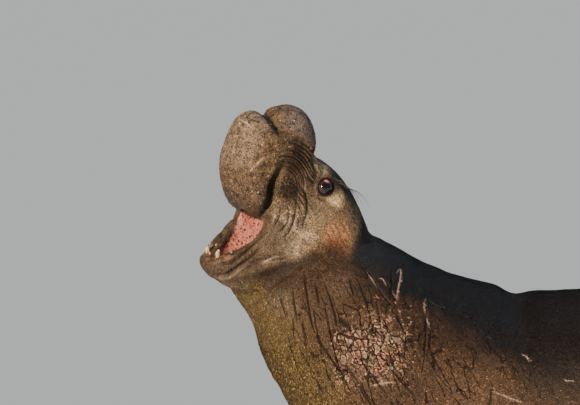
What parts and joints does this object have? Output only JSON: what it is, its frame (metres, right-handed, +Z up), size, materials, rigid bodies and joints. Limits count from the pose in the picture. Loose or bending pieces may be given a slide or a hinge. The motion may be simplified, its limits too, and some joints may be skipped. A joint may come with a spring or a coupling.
{
  "type": "elephant seal",
  "caption": "Life-size still model of an adult bull northern elephant seal, lying with its chest reared, head thrown back and mouth wide open under the inflated nose.",
  "frame": {"origin": "on the floor, under the middle of the model's bounding box", "axes": "+Z up, +X along the body from the head to the hind flippers, -Y towards the animal's left side"},
  "size_m": [3.9918, 1.8928, 1.2978],
  "materials": {
    "skin": "thick folded hide under short olive-brown hair, damp",
    "mouth": "wet pink lining and tongue",
    "eye": "dark wet eyeball",
    "tooth": "worn ivory, yellowed",
    "claw": "dull dark horn",
    "whisker": "stiff dark bristle"
  },
  "bodies": {
    "root": {"proboscis": "skin", "head": "skin", "lower_jaw": "skin", "tongue": "mouth", "eye_left": "eye", "eye_right": "eye", "neck": "skin", "chest": "skin", "torso": "skin", "hindquarters": "skin", "tail": "skin", "fore_flipper_left": "skin", "fore_flipper_right": "skin", "hind_flipper_left": "skin", "hind_flipper_right": "skin"}
  },
  "joints": []
}
